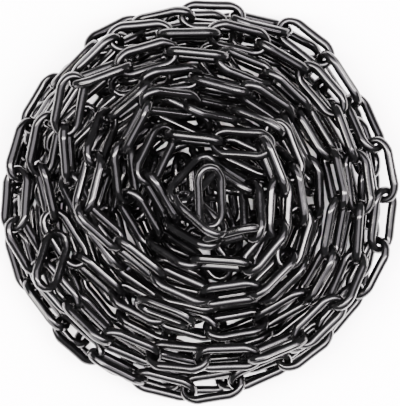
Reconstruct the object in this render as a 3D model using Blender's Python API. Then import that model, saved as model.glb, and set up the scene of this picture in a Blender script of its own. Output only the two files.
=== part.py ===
# A heap of black plastic chain: one long chain of stadium-shaped links, wound in a round spiral heap.
# The links are laid one after another along a spiral path. Each link comes to rest on those below it.
# Measures are in metres, +Z is up, and the heap stands on Z = 0 with its middle on the Z axis.

import itertools
import math

import bmesh
import bpy
import numpy as np
from mathutils import Matrix, Vector

# One link: two straight bars and two round ends, all of round bar.
LINK_LENGTH = 0.052
LINK_WIDTH = 0.024
BAR = 0.007
ARC = (LINK_WIDTH - BAR) / 2
CENTRES = LINK_LENGTH - LINK_WIDTH

# The bar has six sides here, and the round ends have three steps.
BAR_SIDES = 6
SIDE_RADIUS = 0.5 * BAR * 1.06
ARC_STEP_RADIUS = ARC * 1.072
SHARP_ANGLE = math.radians(65)

# Reach is the distance between the middles of the round ends of two links that hold each other.
# It is longest where their bars touch, is held shorter where one turn ends, and never less than this.
TAUT_REACH = 2 * ARC - BAR - 0.0003
TURN_END_REACH = 2 * ARC - BAR - 0.0022
LEAST_REACH = 0.004
MOST_LOOSE_BEND = 0.08

# Distance from joint to joint along the straight chain.
PITCH = CENTRES + TAUT_REACH

# Least distance between the middles of two bars, and the step along a bar where it is measured.
BAR_SPACING = 0.0077
SAMPLE_STEP = 0.0025

# Greatest rise of a link from end to end, and the turns about its own axis that are tried for it.
MOST_RISE = 0.011
ROLL_TRIES = (0.0, -0.2, 0.2, -0.4, 0.4, -0.6, 0.6)

# Each link crosses the one before it at a right angle, give or take this much.
MOST_OFF_CROSS = 0.5

# How the ways to lay a link are weighed: its highest point, and each radian off its wanted roll.
TOP_WEIGHT = 1.0
ROLL_COST = 0.02

# Roll of the links of the lower layers, which lean half-way over, one way and the other in turn.
LEAN = 0.785

# A link may cut this much into those below it before the link before it is raised, this often.
SHORT = 0.0002
MOST_RAISES = 16

# The photo gives one length in pixels for each link, and this is the size of a pixel.
PIXEL = 0.00075
PHOTO_MIDDLE = (199.5, 202.5)

# The joints seen in the photo, in the chain's order: across and down in pixels, and how far the link
# that begins there is turned up on edge, in degrees. First comes the rim of the layer below the top.
RIM_JOINTS = (
    (16, 258, 55), (38, 302, 60), (74, 336, 20), (118, 364, 50), (165, 382, 30), (214, 388, 80),
    (262, 370, 40), (306, 342, 30), (344, 304, 60), (372, 262, 45), (388, 216, 40), (384, 167, 30),
    (368, 120, 25), (344, 76, 60), (312, 36, 10), (267, 11, 70), (217, 9, 40), (167, 13, 50),
    (118, 27, 30), (74, 56, 65), (42, 95, 30), (20, 141, 30),
)
TOP_JOINTS = (
    (11, 190, 45), (14, 238, 15), (50, 277, 55), (84, 310, 75), (125, 337, 45), (171, 357, 25),
    (221, 354, 15), (271, 348, 80), (313, 322, 48), (347, 280, 35), (361, 231, 37), (357, 181, 30),
    (347, 128, 75), (325, 80, 23), (284, 47, 45), (235, 27, 15), (185, 24, 85), (134, 31, 55),
    (87, 52, 60), (55, 95, 85), (34, 143, 20), (36, 192, 50), (58, 242, 5), (96, 279, 65),
    (140, 307, 30), (188, 322, 50), (237, 329, 10), (285, 308, 75), (323, 276, 60), (335, 229, 70),
    (337, 181, 60), (321, 135, 85), (291, 91, 50), (250, 58, 50), (200, 47, 80), (150, 48, 45),
    (107, 68, 50), (76, 108, 15), (64, 158, 40), (72, 207, 50), (105, 250, 65), (143, 285, 80),
    (190, 303, 50), (239, 302, 55), (285, 284, 60), (308, 243, 80), (313, 194, 5), (306, 146, 85),
    (278, 101, 35), (233, 80, 45), (186, 70, 27), (139, 80, 45), (105, 113, 47), (93, 161, 25),
    (103, 208, 50), (134, 247, 80), (172, 278, 45), (208, 290, 80), (250, 282, 55), (278, 256, 85),
    (295, 213, 60), (289, 166, 45), (273, 127, 45), (232, 110, 60), (190, 103, 60), (142, 120, 75),
    (115, 155, 50), (130, 200, 20), (157, 242, 45), (200, 262, 80), (245, 258, 60), (271, 224, 40),
    (277, 186, 80), (261, 140, 20), (212, 137, 80), (165, 131, 10), (148, 174, 45), (168, 212, 45),
    (205, 232, 80), (246, 224, 25), (246, 178, 60), (202, 152, 30), (178, 190, 50), (212, 222, 0),
    (215, 175, 0),
)
SEEN_JOINTS = RIM_JOINTS + TOP_JOINTS

# The lower layers, whose turns nobody sees: turns, inner radius and outer radius.
LOWER_LAYERS = (
    (5.4, 0.030, 0.142),
    (5.3, 0.030, 0.138),
)
START_TURN = 0.15

# Seen joints at which the uppermost turns begin, and the links in each lower turn at the rim.
TURN_STARTS = (25, 39, 58, 75, 86)
LOWER_RIM_LINKS = 22

# The core: width of its radial bands, its gap to the links, its sides and its least height.
BAND = 0.010
CORE_GAP = 0.0006
CORE_SIDES = 32
CORE_LEAST_HEIGHT = 0.008


def goes_inward(layer):
    """Whether the chain runs from the rim to the middle in this layer, as it does in the last one."""
    return (len(LOWER_LAYERS) - layer) % 2 == 0


def photo_point(joint):
    """Place in plan of a joint that was read from the photo."""
    return np.array(
        [(joint[0] - PHOTO_MIDDLE[0]) * PIXEL, (PHOTO_MIDDLE[1] - joint[1]) * PIXEL]
    )


def winding_path():
    """Plan of the whole winding as a fine polyline, and the layer that each of its points is in."""
    points = []
    layers = []
    angle = 2 * math.pi * START_TURN
    seen = [photo_point(joint) for joint in SEEN_JOINTS]
    seen_angle = math.atan2(seen[0][1], seen[0][0])
    for number, (turns, inner, outer) in enumerate(LOWER_LAYERS):
        sweep = 2 * math.pi * turns
        if number == len(LOWER_LAYERS) - 1:
            sweep -= (angle + sweep - seen_angle) % (2 * math.pi)
        steps = int(sweep / math.radians(4))
        for step in range(steps):
            here = angle + sweep * step / steps
            share = 1 - step / steps if goes_inward(number) else step / steps
            radius = inner + (outer - inner) * share
            points.append((radius * math.cos(here), radius * math.sin(here)))
            layers.append(number)
        angle += sweep
    for point in seen:
        points.append(tuple(point))
        layers.append(len(LOWER_LAYERS))
    return np.array(points), layers


def next_on_path(path, start, place, distance):
    """First point of the path, after position place, that is this far from start; None at the end."""
    index = int(place)
    share = place - index
    while index < len(path) - 1:
        first = path[index]
        along = path[index + 1] - first
        offset = first - start
        a = along @ along
        b = 2 * offset @ along
        c = offset @ offset - distance * distance
        root = b * b - 4 * a * c
        if root >= 0:
            found = (-b + math.sqrt(root)) / (2 * a)
            if share <= found <= 1:
                return first + found * along, index + found
        index += 1
        share = 0.0
    return None


def loop_points():
    """The eight corners of a link's centre line, in its own axes: X along the link, Y across it."""
    corners = []
    for end in (1, -1):
        for step in range(4):
            turn = math.radians(-90 + 60 * step)
            radius = ARC_STEP_RADIUS if step in (1, 2) else ARC
            corners.append(
                (end * (CENTRES / 2 + radius * math.cos(turn)), end * radius * math.sin(turn))
            )
    return np.array(corners)


def sampled_loop():
    """Points about SAMPLE_STEP apart along a link's centre line, in its own axes."""
    corners = loop_points()
    found = []
    for first, second in zip(corners, np.roll(corners, -1, axis=0)):
        count = int(np.linalg.norm(second - first) / SAMPLE_STEP) + 1
        for step in range(count):
            found.append(first + (second - first) * step / count)
    return np.array(found)


LOOP = sampled_loop()


class Link:
    """A laid link: its middle, its long axis, its cross axis and its sampled centre line."""

    def __init__(self, near, direction, roll):
        self.direction = direction
        side = np.cross(direction, (0.0, 0.0, 1.0))
        side /= np.linalg.norm(side)
        up = np.cross(side, direction)
        self.roll = roll
        self.cross = math.cos(roll) * side + math.sin(roll) * up
        self.near = near
        self.far = near + CENTRES * direction
        self.middle = near + 0.5 * CENTRES * direction
        self.samples = (
            self.middle + LOOP[:, :1] * direction[None, :] + LOOP[:, 1:] * self.cross[None, :]
        )

    def move(self, step):
        self.middle = self.middle + step
        self.samples = self.samples + step


def needed_rise(samples, others):
    """For each sample, how far it must go up to clear the other links and the floor."""
    rise = 0.5 * BAR_SPACING - samples[:, 2]
    if others is None or not len(others):
        return rise
    low = samples[:, :2].min(axis=0) - BAR_SPACING
    high = samples[:, :2].max(axis=0) + BAR_SPACING
    near = others[
        (others[:, 0] > low[0])
        & (others[:, 0] < high[0])
        & (others[:, 1] > low[1])
        & (others[:, 1] < high[1])
    ]
    if not len(near):
        return rise
    apart = (samples[:, None, 0] - near[None, :, 0]) ** 2
    apart += (samples[:, None, 1] - near[None, :, 1]) ** 2
    lift = np.sqrt(np.maximum(BAR_SPACING**2 - apart, 0.0))
    lift = np.where(apart < BAR_SPACING**2, near[None, :, 2] + lift, -1.0)
    return np.maximum(rise, lift.max(axis=1) - samples[:, 2])


def next_target(path, first_seen, place, joint, rise):
    """Where the next link aims in plan, and the path place of that; None at the chain's end."""
    if place >= first_seen:
        index = int(place) + 1
        return (path[index], index) if index < len(path) else None
    plan = math.sqrt(PITCH * PITCH - rise * rise)
    found = next_on_path(path[: first_seen + 1], joint[:2], place, plan)
    if found is not None:
        return found
    left = np.linalg.norm(path[first_seen] - joint[:2])
    index = first_seen if left > 0.6 * PITCH else first_seen + 1
    return path[index], index


def place_link(joint, reach, last, target, rise, roll, most_reach):
    """A link from this joint towards a point of the plan. Also its far joint and the reach there."""
    aim = target - joint[:2]
    plan = np.linalg.norm(aim)
    far_reach = max(LEAST_REACH, min(most_reach, math.hypot(plan, rise) - CENTRES))
    span = CENTRES + 0.5 * (reach + far_reach)
    slope = math.asin(max(-0.8, min(0.8, rise / span)))
    direction = np.array([*(aim / plan * math.cos(slope)), math.sin(slope)])
    near = joint + 0.5 * reach * direction
    if last is not None:
        # In its own plane the link before lets this one swing about the middle of its round end, and
        # across that plane this one turns with its bar held, so its near end goes a way between.
        normal = np.cross(last.direction, last.cross)
        swing = direction - (direction @ normal) * normal
        between = swing / np.linalg.norm(swing) + 0.5 * (direction + last.direction)
        near = last.far + reach * between / np.linalg.norm(between)
    link = Link(near, direction, roll)
    return link, link.far + 0.5 * far_reach * direction, far_reach


def wanted_rolls(layer, number, seen_number):
    """The rolls that the next link may have: as the photo shows it, or leaning half-way in turn."""
    if layer == len(LOWER_LAYERS):
        up = math.radians(SEEN_JOINTS[max(0, seen_number)][2])
        return (up, -up)
    lean = LEAN + 0.1 * math.sin(0.9 * number) + 0.08 * math.sin(0.37 * number + 1.0)
    if not goes_inward(layer):
        lean = -lean
    return (lean + (math.pi / 2 if number % 2 else 0.0),)


def off_by(roll, wanted):
    """Angle between two rolls, of which half a turn more or less is the same roll."""
    return (roll - wanted + 0.5 * math.pi) % math.pi - 0.5 * math.pi


def crossing_roll(roll, last, most_off):
    """The roll nearest to the wanted one that still crosses the plane of the link before well."""
    right_angle = last + 0.5 * math.pi
    off = off_by(roll, right_angle)
    return (right_angle + max(-most_off, min(most_off, off))) % math.pi


def straightened(joint, ahead, target):
    """A target that makes the chain bend no more than MOST_LOOSE_BEND in plan at this joint."""
    aim = target - joint
    bend = math.atan2(ahead[0] * aim[1] - ahead[1] * aim[0], ahead @ aim)
    excess = bend - max(-MOST_LOOSE_BEND, min(MOST_LOOSE_BEND, bend))
    turned = np.array(
        [
            aim[0] * math.cos(excess) + aim[1] * math.sin(excess),
            aim[1] * math.cos(excess) - aim[0] * math.sin(excess),
        ]
    )
    return joint + turned


def lowest_link(path, first_seen, place, joint, last, wanted, settled, floor):
    """The lowest way to lay the next link: its score, what it is short, the link, its far joint, the
    reach there, and the place on the path. joint is the near joint and the reach there, and floor is
    the least height of the far joint."""
    best = None
    point, reach = joint
    before = last.direction if last else None
    starts = place - first_seen in TURN_STARTS
    most_off = 0.0 if starts else MOST_OFF_CROSS
    for base, turn in itertools.product(wanted, ROLL_TRIES):
        rise = 0.0
        roll = crossing_roll(base + turn, last.roll, most_off) if last else base
        for _ in range(4):
            found = next_target(path, first_seen, place, point, rise)
            if found is None:
                return None
            target = straightened(point[:2], before[:2], found[0]) if starts else found[0]
            most_reach = TURN_END_REACH if found[1] - first_seen in TURN_STARTS else TAUT_REACH
            link, end, far_reach = place_link(point, reach, last, target, rise, roll, most_reach)
            need = needed_rise(link.samples, settled)
            along = (link.samples - point) @ link.direction / PITCH
            rise += float((need / np.maximum(along, 0.3)).max())
            rise = max(-MOST_RISE, floor - point[2], min(MOST_RISE, rise))
            rise = min(rise, 1.4 * MOST_RISE)
        short = max(0.0, float(need.max()))
        score = end[2] + TOP_WEIGHT * link.samples[:, 2].max() + 5 * short
        score += ROLL_COST * abs(off_by(roll, base))
        if best is None or score < best[0]:
            best = (score, short, link, (end, far_reach), found[1])
    return best


def lay_chain():
    """All links of the chain in order, each with the layer that it lies in."""
    path, layers = winding_path()
    first_seen = len(path) - len(SEEN_JOINTS)
    start = np.array([path[0][0], path[0][1], 0.5 * BAR_SPACING + 0.004])
    joints = [(start, TAUT_REACH)]
    places = [0.0]
    links = []
    levels = []
    floors = {}
    raises = {}
    size = len(LOOP)
    cloud = np.empty((size * 600, 3))
    while True:
        number = len(links)
        layer = layers[int(places[-1])]
        found = lowest_link(
            path,
            first_seen,
            places[-1],
            joints[-1],
            links[-1] if links else None,
            wanted_rolls(layer, number, int(places[-1]) - first_seen),
            cloud[: max(0, (number - 2) * size)],
            floors.get(number, -1.0),
        )
        if found is None:
            return links, levels
        _, short, link, end, place = found
        # A link that can't clear those below it has its near joint, on the link before, put higher.
        if short > SHORT and number and raises.get(number, 0) < MOST_RAISES:
            raises[number] = raises.get(number, 0) + 1
            floors[number - 1] = joints[-1][0][2] + 1.2 * short + 0.0003
            links.pop()
            levels.pop()
            joints.pop()
            places.pop()
            continue
        cloud[number * size : (number + 1) * size] = link.samples
        links.append(link)
        levels.append(layer)
        joints.append(end)
        places.append(place)


def centre_links(links):
    """Moves all links, so that the heap's box has its middle on the Z axis and stands on the floor."""
    samples = np.concatenate([link.samples for link in links])
    low = samples.min(axis=0)
    middle = 0.5 * (low + samples.max(axis=0))
    for link in links:
        link.move(np.array([-middle[0], -middle[1], 0.5 * BAR_SPACING - low[2]]))


def black_plastic(name):
    """Glossy black moulded plastic."""
    material = bpy.data.materials.new(name)
    material.use_nodes = True
    shader = material.node_tree.nodes["Principled BSDF"]
    shader.inputs["Base Color"].default_value = (0.02, 0.02, 0.022, 1.0)
    shader.inputs["Roughness"].default_value = 0.25
    shader.inputs["IOR"].default_value = 1.49
    return material


def link_template():
    """One closed link about the origin: a ring of bar sections at its corners, joined in order."""
    corners = loop_points()
    shape = bmesh.new()
    sections = []
    for index, corner in enumerate(corners):
        arriving = Vector(corner - corners[index - 1]).normalized()
        leaving = Vector(corners[(index + 1) % len(corners)] - corner).normalized()
        along = (arriving + leaving).normalized()
        # A section on the bisector of a corner is wider, so that the bars beside it keep their width.
        widen = 1 / arriving.dot(along)
        place = Matrix.Identity(4)
        place.col[0] = (along.y * widen, -along.x * widen, 0, 0)
        place.col[1] = (0, 0, 1, 0)
        place.col[2] = (along.x, along.y, 0, 0)
        place.col[3] = (corner[0], corner[1], 0, 1)
        made = bmesh.ops.create_circle(
            shape, cap_ends=False, segments=BAR_SIDES, radius=SIDE_RADIUS, matrix=place
        )
        sections.append(list({edge for vert in made["verts"] for edge in vert.link_edges}))
    for index, section in enumerate(sections):
        bmesh.ops.bridge_loops(shape, edges=section + sections[index - 1])
    bmesh.ops.recalc_face_normals(shape, faces=shape.faces)
    template = bpy.data.meshes.new("link_template")
    shape.to_mesh(template)
    shape.free()
    template.shade_smooth()
    template.set_sharp_from_angle(angle=SHARP_ANGLE)
    return template


def links_object(name, links, template, material):
    """All these links as one object, with its place in the mesh."""
    shape = bmesh.new()
    for link in links:
        done = len(shape.verts)
        shape.from_mesh(template)
        place = Matrix.Identity(4)
        place.col[0].xyz = link.direction
        place.col[1].xyz = link.cross
        place.col[2].xyz = np.cross(link.direction, link.cross)
        place.col[3].xyz = link.middle
        shape.verts.ensure_lookup_table()
        bmesh.ops.transform(shape, matrix=place, verts=shape.verts[done:])
    mesh = bpy.data.meshes.new(name)
    shape.to_mesh(mesh)
    shape.free()
    mesh.materials.append(material)
    made = bpy.data.objects.new(name, mesh)
    bpy.context.scene.collection.objects.link(made)
    return made


def add_turn(name, links, template, material):
    """A stretch of the chain as one body: every second link, joined with the links between them."""
    turn = links_object(name, links[0::2], template, material)
    between = links_object(name + "_between", links[1::2], template, material)
    between.hide_render = True
    between.display_type = "WIRE"
    union = turn.modifiers.new("join", "BOOLEAN")
    union.operation = "UNION"
    union.solver = "EXACT"
    union.object = between


def core_profile(links):
    """Radii and heights of the core's top, just under the lowest links seen in each radial band."""
    samples = np.concatenate([link.samples for link in links])
    radii = np.hypot(samples[:, 0], samples[:, 1])
    lows = []
    for band in range(20):
        inside = (radii > band * BAND - BAR) & (radii < (band + 1) * BAND + BAR)
        low = samples[inside, 2].min() if inside.any() else lows[-1] + SIDE_RADIUS + CORE_GAP
        lows.append(low - SIDE_RADIUS - CORE_GAP)
        if lows[-1] < CORE_LEAST_HEIGHT:
            lows.pop()
            break
    profile = [(0.0, lows[0])]
    for band in range(1, len(lows)):
        profile.append((band * BAND, min(lows[band - 1], lows[band])))
    profile.append((len(lows) * BAND, lows[-1]))
    return profile


def add_core(links, material):
    """The plain core that stands for the links nobody can see, with a flat underside to rest on."""
    profile = core_profile(links)
    outer = profile[-1][0]
    shape = bmesh.new()
    corners = [shape.verts.new((radius, 0.0, height)) for radius, height in profile]
    corners.append(shape.verts.new((outer, 0.0, 0.0)))
    corners.append(shape.verts.new((0.0, 0.0, 0.0)))
    edges = [shape.edges.new(pair) for pair in zip(corners, corners[1:])]
    bmesh.ops.spin(
        shape,
        geom=corners + edges,
        cent=(0, 0, 0),
        axis=(0, 0, 1),
        angle=2 * math.pi,
        steps=CORE_SIDES,
        use_merge=True,
    )
    bmesh.ops.remove_doubles(shape, verts=shape.verts, dist=0.00001)
    bmesh.ops.recalc_face_normals(shape, faces=shape.faces)
    mesh = bpy.data.meshes.new("hidden_core")
    shape.to_mesh(mesh)
    shape.free()
    mesh.materials.append(material)
    made = bpy.data.objects.new("hidden_core", mesh)
    bpy.context.scene.collection.objects.link(made)


def main():
    for old in list(bpy.data.objects):
        bpy.data.objects.remove(old, do_unlink=True)
    links, levels = lay_chain()
    centre_links(links)
    top = len(LOWER_LAYERS)
    lowest = [link for link, level in zip(links, levels) if level == 0]
    middle = [link for link, level in zip(links, levels) if level == 1]
    seen = [link for link, level in zip(links, levels) if level == top]
    begins = len(SEEN_JOINTS) - 1 - len(seen)
    starts = [start - begins for start in TURN_STARTS]
    turns = {
        "rim_turn_1": lowest[:LOWER_RIM_LINKS],
        "rim_turns_2_3": middle[-LOWER_RIM_LINKS:] + seen[: starts[0]],
    }
    for number, (first, last) in enumerate(zip(starts, starts[1:] + [len(seen)]), start=1):
        turns[f"top_turn_{number}"] = seen[first:last]
    template = link_template()
    for name, stretch in turns.items():
        add_turn(name, stretch, template, black_plastic(name + "_plastic"))
    shown = [link for stretch in turns.values() for link in stretch]
    add_core(shown, black_plastic("hidden_core_plastic"))


main()
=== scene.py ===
"""Looks of a heap of black plastic chain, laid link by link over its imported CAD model.

The chain is one long run of stadium-shaped links, wound in a round spiral heap and seen straight
from above. The joints that show in the photo and the rules by which a link comes to rest are the
same here as in the CAD source, so each link lies where the CAD has it. Measures are in metres.
"""

import itertools
import logging
import math
import random
from dataclasses import dataclass, field
from enum import Enum

import bmesh
import bpy
import numpy as np
from mathutils import Matrix, Vector


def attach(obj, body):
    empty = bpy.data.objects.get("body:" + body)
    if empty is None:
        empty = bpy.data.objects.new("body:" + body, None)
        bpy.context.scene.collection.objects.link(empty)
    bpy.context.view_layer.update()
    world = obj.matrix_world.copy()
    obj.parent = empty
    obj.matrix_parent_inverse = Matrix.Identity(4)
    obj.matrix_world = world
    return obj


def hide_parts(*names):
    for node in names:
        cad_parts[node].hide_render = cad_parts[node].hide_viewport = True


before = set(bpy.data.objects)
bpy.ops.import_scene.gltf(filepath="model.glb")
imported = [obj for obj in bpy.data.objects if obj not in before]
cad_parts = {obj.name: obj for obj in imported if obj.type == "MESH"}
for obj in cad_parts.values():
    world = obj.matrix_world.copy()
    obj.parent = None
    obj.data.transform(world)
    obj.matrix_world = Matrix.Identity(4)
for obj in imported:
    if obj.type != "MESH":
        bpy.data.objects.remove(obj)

log = logging.getLogger("chain_heap")

# The photo's width and height and its middle in pixels, and how many metres a pixel stands for.
PHOTO_SIZE = (400, 406)
PHOTO_MIDDLE = (199.5, 202.5)
PIXEL = 0.00075

# A height below all that is in the scene.
FAR_BELOW = -1.0

# The joints seen in the photo, in the chain's order: across and down in pixels, and how far the
# link that begins there is turned up on edge, in degrees. The outermost round comes first.
RIM_JOINTS = (
    (16, 258, 55), (38, 302, 60), (74, 336, 20), (118, 364, 50), (165, 382, 30), (214, 388, 80),
    (262, 370, 40), (306, 342, 30), (344, 304, 60), (372, 262, 45), (388, 216, 40), (384, 167, 30),
    (368, 120, 25), (344, 76, 60), (312, 36, 10), (267, 11, 70), (217, 9, 40), (167, 13, 50),
    (118, 27, 30), (74, 56, 65), (42, 95, 30), (20, 141, 30),
)
TOP_JOINTS = (
    (11, 190, 45), (14, 238, 15), (50, 277, 55), (84, 310, 75), (125, 337, 45), (171, 357, 25),
    (221, 354, 15), (271, 348, 80), (313, 322, 48), (347, 280, 35), (361, 231, 37), (357, 181, 30),
    (347, 128, 75), (325, 80, 23), (284, 47, 45), (235, 27, 15), (185, 24, 85), (134, 31, 55),
    (87, 52, 60), (55, 95, 85), (34, 143, 20), (36, 192, 50), (58, 242, 5), (96, 279, 65),
    (140, 307, 30), (188, 322, 50), (237, 329, 10), (285, 308, 75), (323, 276, 60), (335, 229, 70),
    (337, 181, 60), (321, 135, 85), (291, 91, 50), (250, 58, 50), (200, 47, 80), (150, 48, 45),
    (107, 68, 50), (76, 108, 15), (64, 158, 40), (72, 207, 50), (105, 250, 65), (143, 285, 80),
    (190, 303, 50), (239, 302, 55), (285, 284, 60), (308, 243, 80), (313, 194, 5), (306, 146, 85),
    (278, 101, 35), (233, 80, 45), (186, 70, 27), (139, 80, 45), (105, 113, 47), (93, 161, 25),
    (103, 208, 50), (134, 247, 80), (172, 278, 45), (208, 290, 80), (250, 282, 55), (278, 256, 85),
    (295, 213, 60), (289, 166, 45), (273, 127, 45), (232, 110, 60), (190, 103, 60), (142, 120, 75),
    (115, 155, 50), (130, 200, 20), (157, 242, 45), (200, 262, 80), (245, 258, 60), (271, 224, 40),
    (277, 186, 80), (261, 140, 20), (212, 137, 80), (165, 131, 10), (148, 174, 45), (168, 212, 45),
    (205, 232, 80), (246, 224, 25), (246, 178, 60), (202, 152, 30), (178, 190, 50), (212, 222, 0),
    (215, 175, 0),
)
SEEN_JOINTS = RIM_JOINTS + TOP_JOINTS


class Smoothness(Enum):
    """How many times the bars of a link are subdivided, by how well the link is seen."""

    SEEN = 2
    HIDDEN = 1


@dataclass(frozen=True)
class LinkShape:
    """One link: two straight bars and two round ends, all of round bar.

    In the CAD model the two middle corners of a round end lie farther out, by arc_step_widening.
    The sections of the coarse link that a Subdivision modifier rounds lie farther out and are
    thicker than the finished bar, by the bulges, and each bar has two at bar_section from its
    middle.
    """

    length: float = 0.052
    width: float = 0.024
    bar: float = 0.007
    arc_step_widening: float = 1.072
    sides: int = 6
    bar_bulge: float = 1.2
    arc_bulge: float = 1.2
    arc_end_bulge: float = 1.06
    bar_section: float = 0.0105

    @property
    def arc(self) -> float:
        """Radius of the centre line of a round end."""
        return (self.width - self.bar) / 2

    @property
    def centres(self) -> float:
        """Distance between the middles of the two round ends."""
        return self.length - self.width

    @staticmethod
    def end_turns() -> list[float]:
        """Angles at which the four corners of a round end lie, from one bar to the other."""
        return [math.radians(turn) for turn in (-90, -30, 30, 90)]

    def corners(self) -> np.ndarray:
        """The eight corners of the centre line that the CAD model has.

        Returns:
            The corners in the link's own axes: X along the link, Y across it.
        """
        corners = []
        for end in (1, -1):
            for step, turn in enumerate(self.end_turns()):
                radius = self.arc * self.arc_step_widening if step in (1, 2) else self.arc
                along = self.centres / 2 + radius * math.cos(turn)
                corners.append((end * along, end * radius * math.sin(turn)))
        return np.array(corners)

    def samples(self, step: float) -> np.ndarray:
        """Points along the centre line, in the link's own axes.

        Args:
            step: About how far the points are apart.

        Returns:
            The points, one a row.
        """
        corners = self.corners()
        found = []
        for first, second in zip(corners, np.roll(corners, -1, axis=0)):
            count = int(np.linalg.norm(second - first) / step) + 1
            for number in range(count):
                found.append(first + (second - first) * number / count)
        return np.array(found)

    def control_sections(self) -> list[tuple[Vector, Vector]]:
        """The sections that a subdivided link is drawn through.

        Returns:
            For each section its middle and the way that the bar runs there.
        """
        sections = []
        for end in (1, -1):
            sections.append((Vector((end * self.bar_section, -end * self.arc)), Vector((end, 0))))
            for step, turn in enumerate(self.end_turns()):
                radius = self.arc * (self.arc_bulge if step in (1, 2) else self.arc_end_bulge)
                out = self.centres / 2 + radius * math.cos(turn)
                middle = Vector((out, radius * math.sin(turn)))
                along = Vector((-math.sin(turn), math.cos(turn)))
                sections.append((end * middle, end * along))
            sections.append((Vector((end * self.bar_section, end * self.arc)), Vector((-end, 0))))
        return sections

    def template(self) -> bpy.types.Mesh:
        """One link about the origin, as a closed ring of bar sections.

        Returns:
            A mesh of a few dozen faces, which a Subdivision modifier makes round.
        """
        shape = bmesh.new()
        sections = []
        for middle, along in self.control_sections():
            place = Matrix.Identity(4)
            place.col[0] = (along.y, -along.x, 0, 0)
            place.col[1] = (0, 0, 1, 0)
            place.col[2] = (along.x, along.y, 0, 0)
            place.col[3] = (middle.x, middle.y, 0, 1)
            made = bmesh.ops.create_circle(
                shape,
                cap_ends=False,
                segments=self.sides,
                radius=0.5 * self.bar * self.bar_bulge,
                matrix=place,
            )
            edges = dict.fromkeys(edge for vert in made["verts"] for edge in vert.link_edges)
            sections.append(list(edges))
        for number, section in enumerate(sections):
            bmesh.ops.bridge_loops(shape, edges=section + sections[number - 1])
        bmesh.ops.recalc_face_normals(shape, faces=shape.faces)
        for face in shape.faces:
            face.smooth = True
        mesh = bpy.data.meshes.new("link_template")
        shape.to_mesh(mesh)
        shape.free()
        return mesh


LINK = LinkShape()


class LaidLink:
    """A link in its place: its middle, its long and cross axes, and its sampled centre line."""

    def __init__(
        self, near: np.ndarray, direction: np.ndarray, roll: float, loop: np.ndarray
    ) -> None:
        """Puts a link in its place.

        Args:
            near: Middle of the round end that is nearer the chain's start.
            direction: Unit vector along the link.
            roll: Turn of the link about its own long axis, in radians.
            loop: The centre line's samples in the link's own axes.
        """
        self.direction = direction
        side = np.cross(direction, (0.0, 0.0, 1.0))
        side /= np.linalg.norm(side)
        up = np.cross(side, direction)
        self.roll = roll
        self.cross = math.cos(roll) * side + math.sin(roll) * up
        self.far = near + LINK.centres * direction
        self.middle = near + 0.5 * LINK.centres * direction
        self.samples = (
            self.middle + loop[:, :1] * direction[None, :] + loop[:, 1:] * self.cross[None, :]
        )

    def move(self, step: np.ndarray) -> None:
        """Moves the link by this step."""
        self.middle = self.middle + step
        self.samples = self.samples + step

    def matrix(self) -> Matrix:
        """The turn and move that take the template to this link's place.

        Returns:
            The matrix.
        """
        place = Matrix.Identity(4)
        place.col[0].xyz = self.direction
        place.col[1].xyz = self.cross
        place.col[2].xyz = np.cross(self.direction, self.cross)
        place.col[3].xyz = self.middle
        return place


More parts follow.
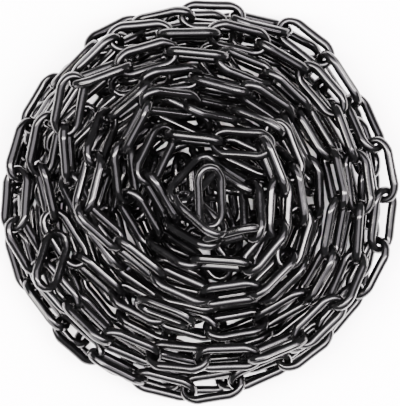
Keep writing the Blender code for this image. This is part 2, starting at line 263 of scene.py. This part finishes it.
@dataclass
class ChainLaying:
    """The rules by which the chain is laid, link after link, each one resting on those below it.

    A reach is the distance between the middles of two round ends that hold each other. Each lower
    layer is given by its number of turns and its least and greatest radius, and each turn of the
    seen layer by the number of the seen joint at which it starts. The lean of the hidden links
    swings in waves, each given by its size, its rate for each link and where it starts.
    """

    # How loose a joint is inside a turn and where a turn starts, and how far it may be pushed in.
    play: float = 0.0003
    turn_end_play: float = 0.0022
    least_reach: float = 0.004
    # How much the chain may bend in plan where a turn starts.
    most_loose_bend: float = 0.08
    # Distance kept between centre lines, and the step at which they are sampled.
    bar_spacing: float = 0.0077
    sample_step: float = 0.0025
    # How much higher than a bar on the floor the chain starts.
    start_lift: float = 0.004
    # How much a link may rise, how much after a raised joint, and the steepest slope's sine.
    most_rise: float = 0.011
    most_raised_rise: float = 1.4 * 0.011
    most_slope_sine: float = 0.8
    # How often a rise is worked out anew, and the least share of a link at which it may be lifted.
    rise_rounds: int = 4
    least_lever: float = 0.3
    # The share of a link that has to be left for it to end at the first seen joint.
    least_last_step: float = 0.6
    # Turns of the roll that are tried, and how far a link may be from crossing the one before.
    roll_tries: tuple[float, ...] = (0.0, -0.2, 0.2, -0.4, 0.4, -0.6, 0.6)
    most_off_cross: float = 0.5
    # What the link's top, its lack of room and its turn count for beside the height of its joint.
    top_weight: float = 1.0
    short_cost: float = 5.0
    roll_cost: float = 0.02
    # How far the hidden links lean.
    lean: float = 0.785
    lean_waves: tuple[tuple[float, float, float], ...] = ((0.1, 0.9, 0.0), (0.08, 0.37, 1.0))
    # Where a link lacks more room than the limit, the joint before it is raised and laid again.
    short_limit: float = 0.0002
    most_raises: int = 16
    raise_share: float = 1.2
    raise_extra: float = 0.0003
    # How many links before a link it may touch, and room for the samples of how many links.
    hanging_links: int = 2
    most_links: int = 600
    # The winding: the fineness of its plan, its two lower layers and where each turn starts.
    path_step: float = math.radians(4)
    lower_layers: tuple[tuple[float, float, float], ...] = (
        (5.4, 0.030, 0.142),
        (5.3, 0.030, 0.138),
    )
    start_turn: float = 0.15
    turn_starts: tuple[int, ...] = (25, 39, 58, 75, 86)
    links: list[LaidLink] = field(default_factory=list)
    levels: list[int] = field(default_factory=list)
    shift: tuple[float, float] = (0.0, 0.0)

    def __post_init__(self) -> None:
        """Works out what follows from the rules."""
        self.taut_reach = 2 * LINK.arc - LINK.bar - self.play
        self.turn_end_reach = 2 * LINK.arc - LINK.bar - self.turn_end_play
        self.pitch = LINK.centres + self.taut_reach
        self.loop = LINK.samples(self.sample_step)
        self.top = len(self.lower_layers)

    def goes_inward(self, layer: int) -> bool:
        """Whether the chain runs from the rim to the middle in this layer."""
        return (self.top - layer) % 2 == 0

    @staticmethod
    def photo_point(joint: tuple[float, ...]) -> np.ndarray:
        """Place in plan, before the heap is centred, of a point read from the photo."""
        return np.array(
            [(joint[0] - PHOTO_MIDDLE[0]) * PIXEL, (PHOTO_MIDDLE[1] - joint[1]) * PIXEL]
        )

    def winding_path(self) -> tuple[np.ndarray, list[int]]:
        """Plan of the whole winding.

        Returns:
            The winding as a fine polyline, and the layer that each of its points is in.
        """
        points = []
        layers = []
        angle = 2 * math.pi * self.start_turn
        seen = [self.photo_point(joint) for joint in SEEN_JOINTS]
        seen_angle = math.atan2(seen[0][1], seen[0][0])
        for number, (turns, inner, outer) in enumerate(self.lower_layers):
            sweep = 2 * math.pi * turns
            if number == self.top - 1:
                sweep -= (angle + sweep - seen_angle) % (2 * math.pi)
            steps = int(sweep / self.path_step)
            for step in range(steps):
                here = angle + sweep * step / steps
                share = 1 - step / steps if self.goes_inward(number) else step / steps
                radius = inner + (outer - inner) * share
                points.append((radius * math.cos(here), radius * math.sin(here)))
                layers.append(number)
            angle += sweep
        for point in seen:
            points.append(tuple(point))
            layers.append(self.top)
        return np.array(points), layers

    @staticmethod
    def next_on_path(
        path: np.ndarray, start: np.ndarray, place: float, distance: float
    ) -> tuple[np.ndarray, float] | None:
        """First point of the path, after position place, that is this far from start.

        Args:
            path: The polyline.
            start: Where the distance is measured from.
            place: Position on the path: a point's number, plus the share of the way to the next.
            distance: How far the point is from start.

        Returns:
            The point and its position, or None past the path's end.
        """
        index = int(place)
        share = place - index
        while index < len(path) - 1:
            first = path[index]
            along = path[index + 1] - first
            offset = first - start
            a = along @ along
            b = 2 * offset @ along
            c = offset @ offset - distance * distance
            root = b * b - 4 * a * c
            if root >= 0:
                found = (-b + math.sqrt(root)) / (2 * a)
                if share <= found <= 1:
                    return first + found * along, index + found
            index += 1
            share = 0.0
        return None

    def needed_rise(self, samples: np.ndarray, others: np.ndarray) -> np.ndarray:
        """How far each sample must go up to clear the other links and the floor.

        Args:
            samples: Points of the centre line of the link to lay.
            others: Points of the centre lines of the links laid before.

        Returns:
            One height for each sample.
        """
        spacing = self.bar_spacing
        rise = 0.5 * spacing - samples[:, 2]
        if not len(others):
            return rise
        low = samples[:, :2].min(axis=0) - spacing
        high = samples[:, :2].max(axis=0) + spacing
        near = others[
            (others[:, 0] > low[0])
            & (others[:, 0] < high[0])
            & (others[:, 1] > low[1])
            & (others[:, 1] < high[1])
        ]
        if not len(near):
            return rise
        apart = (samples[:, None, 0] - near[None, :, 0]) ** 2
        apart += (samples[:, None, 1] - near[None, :, 1]) ** 2
        lift = np.sqrt(np.maximum(spacing**2 - apart, 0.0))
        lift = np.where(apart < spacing**2, near[None, :, 2] + lift, FAR_BELOW)
        return np.maximum(rise, lift.max(axis=1) - samples[:, 2])

    def next_target(
        self, path: np.ndarray, first_seen: int, place: float, joint: np.ndarray, rise: float
    ) -> tuple[np.ndarray, float] | None:
        """Where the next link aims in plan.

        Args:
            path: The winding's polyline.
            first_seen: Number of the path's point at which the seen joints begin.
            place: Position on the path of the joint that the link starts from.
            joint: That joint.
            rise: How much the link rises.

        Returns:
            The point aimed at and its position on the path, or None at the chain's end.
        """
        if place >= first_seen:
            index = int(place) + 1
            return (path[index], index) if index < len(path) else None
        plan = math.sqrt(self.pitch * self.pitch - rise * rise)
        found = self.next_on_path(path[: first_seen + 1], joint[:2], place, plan)
        if found is not None:
            return found
        left = np.linalg.norm(path[first_seen] - joint[:2])
        index = first_seen if left > self.least_last_step * self.pitch else first_seen + 1
        return path[index], index

    def place_link(
        self,
        joint: np.ndarray,
        reach: float,
        last: LaidLink | None,
        target: np.ndarray,
        rise: float,
        roll: float,
        most_reach: float,
    ) -> tuple[LaidLink, np.ndarray, float]:
        """A link from a joint towards a point of the plan.

        Args:
            joint: Where the link hangs in the one before it.
            reach: Distance between the round ends of the two links there.
            last: The link before, or None for the first.
            target: Point in plan to aim at.
            rise: How much the link rises.
            roll: Turn of the link about its long axis.
            most_reach: Greatest reach at the link's far joint.

        Returns:
            The link, its far joint and the reach there.
        """
        aim = target - joint[:2]
        plan = np.linalg.norm(aim)
        far_reach = max(self.least_reach, min(most_reach, math.hypot(plan, rise) - LINK.centres))
        span = LINK.centres + 0.5 * (reach + far_reach)
        slope = math.asin(max(-self.most_slope_sine, min(self.most_slope_sine, rise / span)))
        direction = np.array([*(aim / plan * math.cos(slope)), math.sin(slope)])
        near = joint + 0.5 * reach * direction
        if last is not None:
            # In its own plane the link before lets this one swing about the middle of its round
            # end, and across that plane this one turns with its bar held, so its near end goes
            # between the two.
            normal = np.cross(last.direction, last.cross)
            swing = direction - (direction @ normal) * normal
            between = swing / np.linalg.norm(swing) + 0.5 * (direction + last.direction)
            near = last.far + reach * between / np.linalg.norm(between)
        link = LaidLink(near, direction, roll, self.loop)
        return link, link.far + 0.5 * far_reach * direction, far_reach

    def wanted_rolls(self, layer: int, number: int, seen_number: int) -> tuple[float, ...]:
        """The rolls that a link may have: as the photo shows it, or leaning half-way in turn.

        Args:
            layer: Layer that the link is in.
            number: The link's number in the chain.
            seen_number: The number of its joint among the seen ones.

        Returns:
            The rolls in radians.
        """
        if layer == self.top:
            up = math.radians(SEEN_JOINTS[max(0, seen_number)][2])
            return (up, -up)
        lean = self.lean
        for size, rate, start in self.lean_waves:
            lean += size * math.sin(rate * number + start)
        if not self.goes_inward(layer):
            lean = -lean
        return (lean + (math.pi / 2 if number % 2 else 0.0),)

    @staticmethod
    def off_by(roll: float, wanted: float) -> float:
        """Angle between two rolls, of which half a turn more or less is the same roll."""
        return (roll - wanted + 0.5 * math.pi) % math.pi - 0.5 * math.pi

    def crossing_roll(self, roll: float, last: float, most_off: float) -> float:
        """The roll nearest to the wanted one that still crosses the plane of the link before well.

        Args:
            roll: The wanted roll.
            last: Roll of the link before.
            most_off: How far the crossing may be from a right angle.

        Returns:
            The roll in radians.
        """
        right_angle = last + 0.5 * math.pi
        off = self.off_by(roll, right_angle)
        return (right_angle + max(-most_off, min(most_off, off))) % math.pi

    def straightened(self, joint: np.ndarray, ahead: np.ndarray, target: np.ndarray) -> np.ndarray:
        """A target that makes the chain bend little in plan at a joint.

        Args:
            joint: The joint in plan.
            ahead: Direction in plan of the link before.
            target: The target before it is turned.

        Returns:
            The turned target.
        """
        aim = target - joint
        bend = math.atan2(ahead[0] * aim[1] - ahead[1] * aim[0], ahead @ aim)
        excess = bend - max(-self.most_loose_bend, min(self.most_loose_bend, bend))
        turned = np.array(
            [
                aim[0] * math.cos(excess) + aim[1] * math.sin(excess),
                aim[1] * math.cos(excess) - aim[0] * math.sin(excess),
            ]
        )
        return joint + turned

    def lowest_link(
        self,
        path: np.ndarray,
        first_seen: int,
        place: float,
        joint: tuple[np.ndarray, float],
        last: LaidLink | None,
        wanted: tuple[float, ...],
        settled: np.ndarray,
        floor: float,
    ) -> tuple[float, float, LaidLink, tuple[np.ndarray, float], float] | None:
        """The lowest way to lay the next link.

        Args:
            path: The winding's polyline.
            first_seen: Number of the path's point at which the seen joints begin.
            place: Position on the path of the joint that the link starts from.
            joint: That joint and the reach there.
            last: The link before, or None for the first.
            wanted: The rolls that it may have.
            settled: Points of the centre lines of the links laid before.
            floor: Least height of the far joint.

        Returns:
            The score, what the link is short of clearing those below, the link, its far joint with
            the reach there, and the position on the path. None at the chain's end.
        """
        best = None
        point, reach = joint
        before = last.direction if last else None
        starts = place - first_seen in self.turn_starts
        most_off = 0.0 if starts else self.most_off_cross
        for base, turn in itertools.product(wanted, self.roll_tries):
            rise = 0.0
            roll = self.crossing_roll(base + turn, last.roll, most_off) if last else base
            for _ in range(self.rise_rounds):
                found = self.next_target(path, first_seen, place, point, rise)
                if found is None:
                    return None
                target = self.straightened(point[:2], before[:2], found[0]) if starts else found[0]
                ends = found[1] - first_seen in self.turn_starts
                most_reach = self.turn_end_reach if ends else self.taut_reach
                link, end, far_reach = self.place_link(
                    point, reach, last, target, rise, roll, most_reach
                )
                need = self.needed_rise(link.samples, settled)
                along = (link.samples - point) @ link.direction / self.pitch
                rise += float((need / np.maximum(along, self.least_lever)).max())
                rise = max(-self.most_rise, floor - point[2], min(self.most_rise, rise))
                rise = min(rise, self.most_raised_rise)
            short = max(0.0, float(need.max()))
            score = end[2] + self.top_weight * link.samples[:, 2].max() + self.short_cost * short
            score += self.roll_cost * abs(self.off_by(roll, base))
            if best is None or score < best[0]:
                best = (score, short, link, (end, far_reach), found[1])
        return best

    def lay(self) -> None:
        """Lays all links of the chain in order, and centres the heap over the floor."""
        path, layers = self.winding_path()
        first_seen = len(path) - len(SEEN_JOINTS)
        start = np.array([*path[0], 0.5 * self.bar_spacing + self.start_lift])
        joints = [(start, self.taut_reach)]
        places = [0.0]
        links: list[LaidLink] = []
        levels: list[int] = []
        floors: dict[int, float] = {}
        raises: dict[int, int] = {}
        size = len(self.loop)
        cloud = np.empty((size * self.most_links, 3))
        while True:
            number = len(links)
            layer = layers[int(places[-1])]
            found = self.lowest_link(
                path,
                first_seen,
                places[-1],
                joints[-1],
                links[-1] if links else None,
                self.wanted_rolls(layer, number, int(places[-1]) - first_seen),
                cloud[: max(0, (number - self.hanging_links) * size)],
                floors.get(number, FAR_BELOW),
            )
            if found is None:
                break
            _, short, link, end, place = found
            if short > self.short_limit and number and raises.get(number, 0) < self.most_raises:
                raises[number] = raises.get(number, 0) + 1
                floors[number - 1] = joints[-1][0][2] + self.raise_share * short + self.raise_extra
                links.pop()
                levels.pop()
                joints.pop()
                places.pop()
                continue
            cloud[number * size : (number + 1) * size] = link.samples
            links.append(link)
            levels.append(layer)
            joints.append(end)
            places.append(place)
        samples = np.concatenate([link.samples for link in links])
        low = samples.min(axis=0)
        middle = 0.5 * (low + samples.max(axis=0))
        for link in links:
            link.move(np.array([-middle[0], -middle[1], 0.5 * self.bar_spacing - low[2]]))
        self.shift = (-float(middle[0]), -float(middle[1]))
        self.links = links
        self.levels = levels

    def photo_place(self, across: float, down: float) -> Vector:
        """Place in plan, in the centred heap, of a point of the photo given in pixels."""
        point = self.photo_point((across, down))
        return Vector((point[0] + self.shift[0], point[1] + self.shift[1], 0.0))


@dataclass
class DeepLinks:
    """Links deep in the heap, put where the floor would show between those that were laid.

    The photo shows chain behind chain everywhere inside the rim, and hardly any floor.
    """

    # Radius inside which bare floor is looked for, the one inside which links stay, and the grid.
    radius: float = 0.128
    outermost: float = 0.136
    cell: float = 0.0015
    # Step of the centre line's samples, and the distance kept from other centre lines.
    sample_step: float = 0.002
    bar_spacing: float = 0.0060
    # Least height of a centre line, how much higher it may lie, and the steepest slope.
    lowest: float = 0.6 * LINK.bar
    highest: float = 0.05
    most_slope: float = 0.4
    # How many links there may be, the cells that one has to cover, and the tries for each.
    most_links: int = 40
    least_gain: int = 2
    tries: int = 1000
    seed: int = 8

    def __post_init__(self) -> None:
        """Works out the centre line's samples."""
        self.loop = LINK.samples(self.sample_step)

    def bare_cells(self, laid: list[LaidLink]) -> np.ndarray:
        """Middles of the cells of the plan in which the floor shows.

        Args:
            laid: All links of the chain that was laid.

        Returns:
            The points in plan, one a row.
        """
        count = int(self.radius / self.cell)
        line = np.arange(-count, count + 1) * self.cell
        plan = np.stack(np.meshgrid(line, line, indexing="ij"), axis=-1).reshape(-1, 2)
        plan = plan[np.hypot(plan[:, 0], plan[:, 1]) < self.radius]
        for link in laid:
            plan = plan[~self.covers(link, plan)]
        return plan

    def covers(self, link: LaidLink, plan: np.ndarray) -> np.ndarray:
        """Which of these points in plan a link's bars cover.

        Args:
            link: The link.
            plan: The points, one a row.

        Returns:
            One truth value for each point.
        """
        near = np.abs(plan - link.middle[:2]).max(axis=1) < 0.5 * LINK.length
        covered = near.copy()
        apart = ((plan[near][:, None, :] - link.samples[None, :, :2]) ** 2).sum(axis=2)
        covered[near] = (apart < (0.5 * LINK.bar) ** 2).any(axis=1)
        return covered

    def candidate(self, draw: random.Random, spot: np.ndarray) -> LaidLink:
        """A link in a random way, with its bar over a spot of the plan.

        Args:
            draw: The source of random numbers.
            spot: The spot.

        Returns:
            The link.
        """
        heading = draw.uniform(0.0, 2 * math.pi)
        slope = draw.uniform(-self.most_slope, self.most_slope)
        direction = np.array(
            [
                math.cos(heading) * math.cos(slope),
                math.sin(heading) * math.cos(slope),
                math.sin(slope),
            ]
        )
        link = LaidLink(np.zeros(3), direction, draw.uniform(0.0, math.pi), self.loop)
        over = link.samples[draw.randrange(len(self.loop))]
        height = self.lowest - link.samples[:, 2].min() + draw.random() * self.highest
        link.move(np.array([spot[0] - over[0], spot[1] - over[1], height]))
        return link

    def is_clear(self, link: LaidLink, others: np.ndarray) -> bool:
        """Whether a link keeps clear of all other links and inside the rim.

        Args:
            link: The link.
            others: Points of the centre lines of the other links.

        Returns:
            True where it does.
        """
        if np.hypot(link.samples[:, 0], link.samples[:, 1]).max() > self.outermost:
            return False
        low = link.samples.min(axis=0) - self.bar_spacing
        high = link.samples.max(axis=0) + self.bar_spacing
        near = others[((others > low) & (others < high)).all(axis=1)]
        if not len(near):
            return True
        apart = ((link.samples[:, None, :] - near[None, :, :]) ** 2).sum(axis=2)
        return bool(apart.min() > self.bar_spacing**2)

    def fill(self, laid: list[LaidLink]) -> list[LaidLink]:
        """Puts links where the floor would show.

        Args:
            laid: All links of the chain that was laid.

        Returns:
            The links that were added.
        """
        draw = random.Random(self.seed)
        bare = self.bare_cells(laid)
        shown = len(bare)
        others = np.concatenate([link.samples for link in laid])
        added: list[LaidLink] = []
        while len(added) < self.most_links and len(bare):
            best = None
            most = self.least_gain - 1
            for _ in range(self.tries):
                link = self.candidate(draw, bare[draw.randrange(len(bare))])
                covered = self.covers(link, bare)
                gain = int(covered.sum())
                if gain > most and self.is_clear(link, others):
                    most = gain
                    best = (link, covered)
            if best is None:
                break
            link, covered = best
            bare = bare[~covered]
            others = np.concatenate([others, link.samples])
            added.append(link)
        log.info("%d deep links, bare cells %d, now %d", len(added), shown, len(bare))
        return added


@dataclass(frozen=True)
class PlasticFinish:
    """Glossy black moulded polyethylene with a faint parting line and a slightly uneven surface.

    Polish and dull are the least and greatest roughness. Sizes and heights are in metres.
    """

    name: str = "black_chain_plastic"
    dark: tuple[float, float, float] = (0.00025, 0.00024, 0.00026)
    light: tuple[float, float, float] = (0.0006, 0.00058, 0.00062)
    specular: float = 0.2
    polish: float = 0.05
    dull: float = 0.22
    ior: float = 1.5
    seam_half_width: float = 0.0006
    seam_height: float = 0.00013
    ripple_size: float = 0.011
    ripple_height: float = 0.00007
    noise_roughness: float = 0.55
    ripple_detail: float = 1.0
    grain_detail: float = 3.0
    wear_detail: float = 4.0
    wear_from: float = 0.35
    wear_to: float = 0.68
    grain_size: float = 0.0011
    grain_height: float = 0.000028

    def _new_group(
        self, name: str, outputs: dict[str, str], inputs: dict[str, float]
    ) -> bpy.types.NodeTree:
        """An empty shader node group with these sockets.

        Args:
            name: Name of the group.
            outputs: Socket type of each output.
            inputs: Default value of each input.

        Returns:
            The group, with its Group Input and Group Output nodes.
        """
        group = bpy.data.node_groups.new(name, "ShaderNodeTree")
        for label, value in inputs.items():
            made = group.interface.new_socket(
                name=label, in_out="INPUT", socket_type="NodeSocketFloat"
            )
            made.default_value = value
        for label, kind in outputs.items():
            group.interface.new_socket(name=label, in_out="OUTPUT", socket_type=kind)
        group.nodes.new("NodeGroupInput")
        group.nodes.new("NodeGroupOutput")
        return group

    def moulding_group(self) -> bpy.types.NodeTree:
        """The node group for what the mould leaves: parting line, sink ripples and a fine grain.

        Returns:
            A group with the outputs Height, in metres, and Wear, a mask from 0 to 1.
        """
        group = self._new_group(
            "moulding_marks",
            {"Height": "NodeSocketFloat", "Wear": "NodeSocketFloat"},
            {
                "Seam Half Width": self.seam_half_width,
                "Seam Height": self.seam_height,
                "Ripple Size": self.ripple_size,
                "Ripple Height": self.ripple_height,
                "Grain Size": self.grain_size,
                "Grain Height": self.grain_height,
            },
        )
        nodes, links = group.nodes, group.links
        given = nodes["Group Input"].outputs
        out = nodes["Group Output"].inputs

        def math_node(operation: str, first: object, second: object = None) -> bpy.types.NodeSocket:
            """A Math node.

            Args:
                operation: What it does.
                first: Its first socket or number.
                second: Its second socket or number, where it needs one.

            Returns:
                The result's socket.
            """
            node = nodes.new("ShaderNodeMath")
            node.operation = operation
            for socket, value in zip(node.inputs, (first, second)):
                if isinstance(value, bpy.types.NodeSocket):
                    links.new(value, socket)
                elif value is not None:
                    socket.default_value = value
            return node.outputs[0]

        off_plane = nodes.new("ShaderNodeAttribute")
        off_plane.attribute_name = "off_plane"
        distance = math_node("ABSOLUTE", off_plane.outputs["Fac"])
        share = math_node("DIVIDE", distance, given["Seam Half Width"])
        seam = math_node("SUBTRACT", 1.0, share)
        seam = math_node("MAXIMUM", seam, 0.0)
        seam_lift = math_node("MULTIPLY", seam, given["Seam Height"])

        place = nodes.new("ShaderNodeTexCoord")

        def noise(size: bpy.types.NodeSocket, detail: float) -> bpy.types.NodeSocket:
            """Noise over the object.

            Args:
                size: Size of its features in metres.
                detail: How many finer steps it has.

            Returns:
                The noise's socket.
            """
            node = nodes.new("ShaderNodeTexNoise")
            node.inputs["Detail"].default_value = detail
            node.inputs["Roughness"].default_value = self.noise_roughness
            links.new(place.outputs["Object"], node.inputs["Vector"])
            links.new(math_node("DIVIDE", 1.0, size), node.inputs["Scale"])
            return node.outputs["Fac"]

        ripple = noise(given["Ripple Size"], self.ripple_detail)
        grain = noise(given["Grain Size"], self.grain_detail)
        height = math_node("MULTIPLY", ripple, given["Ripple Height"])
        height = math_node("ADD", height, math_node("MULTIPLY", grain, given["Grain Height"]))
        height = math_node("ADD", height, seam_lift)
        links.new(height, out["Height"])
        wear = noise(given["Ripple Size"], self.wear_detail)
        spread = nodes.new("ShaderNodeMapRange")
        spread.inputs["From Min"].default_value = self.wear_from
        spread.inputs["From Max"].default_value = self.wear_to
        links.new(wear, spread.inputs["Value"])
        links.new(spread.outputs["Result"], out["Wear"])
        return group

    def material(self, group: bpy.types.NodeTree) -> bpy.types.Material:
        """The plastic as a material.

        Args:
            group: The node group of moulding marks.

        Returns:
            The material.
        """
        material = bpy.data.materials.new(self.name)
        material.use_nodes = True
        nodes, links = material.node_tree.nodes, material.node_tree.links
        shader = nodes["Principled BSDF"]
        shader.inputs["IOR"].default_value = self.ior
        shader.inputs["Specular IOR Level"].default_value = self.specular
        marks = nodes.new("ShaderNodeGroup")
        marks.node_tree = group
        tone = nodes.new("ShaderNodeAttribute")
        tone.attribute_name = "link_tone"
        colour = nodes.new("ShaderNodeMix")
        colour.data_type = "RGBA"
        colour.inputs["A"].default_value = (*self.dark, 1.0)
        colour.inputs["B"].default_value = (*self.light, 1.0)
        links.new(tone.outputs["Fac"], colour.inputs["Factor"])
        links.new(colour.outputs["Result"], shader.inputs["Base Color"])
        gloss = nodes.new("ShaderNodeMapRange")
        gloss.inputs["To Min"].default_value = self.polish
        gloss.inputs["To Max"].default_value = self.dull
        links.new(marks.outputs["Wear"], gloss.inputs["Value"])
        links.new(gloss.outputs["Result"], shader.inputs["Roughness"])
        # The heights are in metres, so the bump takes them as they are.
        bump = nodes.new("ShaderNodeBump")
        bump.inputs["Strength"].default_value = 1.0
        bump.inputs["Distance"].default_value = 1.0
        links.new(marks.outputs["Height"], bump.inputs["Height"])
        links.new(bump.outputs["Normal"], shader.inputs["Normal"])
        return material


@dataclass(frozen=True)
class Stretch:
    """A run of the chain: the CAD nodes that it stands for, its links and their smoothness."""

    nodes: tuple[str, ...]
    links: list[LaidLink]
    smoothness: Smoothness


@dataclass
class ChainHeap:
    """All links of the heap, one visual piece for each solid of the CAD model."""

    laying: ChainLaying
    deep: DeepLinks = field(default_factory=DeepLinks)
    finish: PlasticFinish = PlasticFinish()
    lower_rim_links: int = 22
    seed: int = 4

    def stretches(self) -> dict[str, Stretch]:
        """The chain's stretches.

        Returns:
            One for each piece, by the piece's name.
        """
        laying = self.laying
        by_layer = [
            [link for link, level in zip(laying.links, laying.levels) if level == layer]
            for layer in range(laying.top + 1)
        ]
        seen = by_layer[laying.top]
        rim = self.lower_rim_links
        begins = len(SEEN_JOINTS) - 1 - len(seen)
        starts = [start - begins for start in laying.turn_starts]
        between = by_layer[1][-rim:] + seen[: starts[0]]
        made = {
            "rim_turn_1_links": Stretch(("rim_turn_1",), by_layer[0][:rim], Smoothness.SEEN),
            "rim_turns_2_3_links": Stretch(("rim_turns_2_3",), between, Smoothness.SEEN),
        }
        for number, (first, last) in enumerate(zip(starts, starts[1:] + [len(seen)]), start=1):
            node = f"top_turn_{number}"
            made[f"{node}_links"] = Stretch((node,), seen[first:last], Smoothness.SEEN)
        inner = by_layer[0][rim:] + by_layer[1][:-rim] + self.deep.fill(laying.links)
        made["inner_links"] = Stretch(("hidden_core",), inner, Smoothness.HIDDEN)
        return made

    def joined_mesh(
        self, name: str, links: list[LaidLink], template: bpy.types.Mesh
    ) -> bpy.types.Mesh:
        """These links as one mesh, each in its place.

        Args:
            name: Name of the mesh.
            links: The links.
            template: The link to repeat.

        Returns:
            The mesh, with the attributes off_plane and link_tone.
        """
        draw = random.Random(f"{name}{self.seed}")
        shape = bmesh.new()
        off_plane = shape.verts.layers.float.new("off_plane")
        tone = shape.verts.layers.float.new("link_tone")
        for link in links:
            done = len(shape.verts)
            shape.from_mesh(template)
            shape.verts.ensure_lookup_table()
            added = shape.verts[done:]
            value = draw.random()
            for vert in added:
                vert[off_plane] = vert.co.z
                vert[tone] = value
            bmesh.ops.transform(shape, matrix=link.matrix(), verts=added)
        mesh = bpy.data.meshes.new(name)
        shape.to_mesh(mesh)
        shape.free()
        return mesh

    def build(self) -> list[bpy.types.Object]:
        """Builds, dresses and places every piece.

        Returns:
            The pieces.
        """
        template = LINK.template()
        material = self.finish.material(self.finish.moulding_group())
        pieces = []
        for name, stretch in self.stretches().items():
            mesh = self.joined_mesh(name, stretch.links, template)
            mesh.materials.append(material)
            piece = bpy.data.objects.new(name, mesh)
            bpy.context.scene.collection.objects.link(piece)
            rounding = piece.modifiers.new("rounding", "SUBSURF")
            rounding.levels = stretch.smoothness.value
            rounding.render_levels = stretch.smoothness.value
            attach(piece, "root")
            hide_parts(*stretch.nodes)
            pieces.append(piece)
            log.info("%s: %d links for %s", name, len(stretch.links), ", ".join(stretch.nodes))
        bpy.data.meshes.remove(template)
        return pieces


@dataclass(frozen=True)
class Softbox:
    """A rectangular light that faces the heap: its middle, size, brightness and colour."""

    name: str
    place: tuple[float, float, float]
    size: tuple[float, float]
    radiance: float
    tint: tuple[float, float, float]

    def build(self) -> None:
        """Makes the light."""
        light = bpy.data.lights.new(self.name, "AREA")
        light.shape = "RECTANGLE"
        light.size, light.size_y = self.size
        light.energy = self.radiance * math.pi * self.size[0] * self.size[1]
        light.color = self.tint
        made = bpy.data.objects.new(self.name, light)
        made.location = self.place
        made.rotation_euler = Vector(self.place).to_track_quat("Z", "Y").to_euler()
        bpy.context.scene.collection.objects.link(made)


@dataclass
class Studio:
    """A plain pale floor, soft light and the camera straight above.

    At framing_height over the floor a pixel is as large as in the photo, but for closeness, by
    which the frame is tightened, and offset, by which it is moved in pixels, across and down.
    """

    laying: ChainLaying
    softboxes: tuple[Softbox, ...] = (
        Softbox("wide_panel", (0.0, 0.0, 4.8), (7.0, 7.0), 14.0, (0.98, 0.92, 1.0)),
        Softbox("left_box", (-0.45, 0.0, 4.6), (1.0, 6.4), 103.0, (1.0, 0.955, 0.91)),
        Softbox("right_box", (1.5, 0.0, 4.6), (0.7, 6.4), 62.0, (1.0, 0.91, 0.98)),
    )
    room_tint: tuple[float, float, float] = (0.97, 0.95, 1.0)
    room_strength: float = 1.0
    floor_size: float = 24.0
    floor_tone: float = 0.92
    floor_roughness: float = 0.9
    floor_specular: float = 0.1
    camera_height: float = 4.0
    framing_height: float = 0.045
    closeness: float = 1.012
    offset: tuple[float, float] = (-1.5, -6.0)
    sensor: float = 36.0
    farthest: float = 20.0

    def floor(self) -> None:
        """The plain pale floor."""
        shape = bmesh.new()
        bmesh.ops.create_grid(shape, x_segments=1, y_segments=1, size=self.floor_size / 2)
        mesh = bpy.data.meshes.new("floor")
        shape.to_mesh(mesh)
        shape.free()
        material = bpy.data.materials.new("pale_floor")
        material.use_nodes = True
        shader = material.node_tree.nodes["Principled BSDF"]
        shader.inputs["Base Color"].default_value = (self.floor_tone,) * 3 + (1.0,)
        shader.inputs["Roughness"].default_value = self.floor_roughness
        shader.inputs["Specular IOR Level"].default_value = self.floor_specular
        mesh.materials.append(material)
        floor = bpy.data.objects.new("floor", mesh)
        bpy.context.scene.collection.objects.link(floor)

    def lights(self) -> None:
        """The softboxes above the camera and the white room."""
        for softbox in self.softboxes:
            softbox.build()
        world = bpy.data.worlds.new("white_room")
        world.use_nodes = True
        background = world.node_tree.nodes["Background"]
        background.inputs["Color"].default_value = (*self.room_tint, 1.0)
        background.inputs["Strength"].default_value = self.room_strength
        bpy.context.scene.world = world

    def camera(self) -> None:
        """The camera, straight above, framed as the photo is."""
        data = bpy.data.cameras.new("overhead")
        data.sensor_fit = "HORIZONTAL"
        data.sensor_width = self.sensor
        width = PHOTO_SIZE[0] * PIXEL / self.closeness
        data.lens = self.sensor * (self.camera_height - self.framing_height) / width
        data.clip_end = self.farthest
        made = bpy.data.objects.new("overhead", data)
        across, down = (size / 2 + step for size, step in zip(PHOTO_SIZE, self.offset))
        middle = self.laying.photo_place(across, down)
        made.location = (middle.x, middle.y, self.camera_height)
        bpy.context.scene.collection.objects.link(made)
        bpy.context.scene.camera = made

    def build(self) -> None:
        """Sets up floor, lights and camera."""
        self.floor()
        self.lights()
        self.camera()


def main() -> None:
    """Builds the heap and the studio."""
    logging.basicConfig(level=logging.INFO, format="%(name)s: %(message)s")
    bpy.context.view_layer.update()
    laying = ChainLaying()
    laying.lay()
    ChainHeap(laying).build()
    Studio(laying).build()


if __name__ == "__main__":
    main()
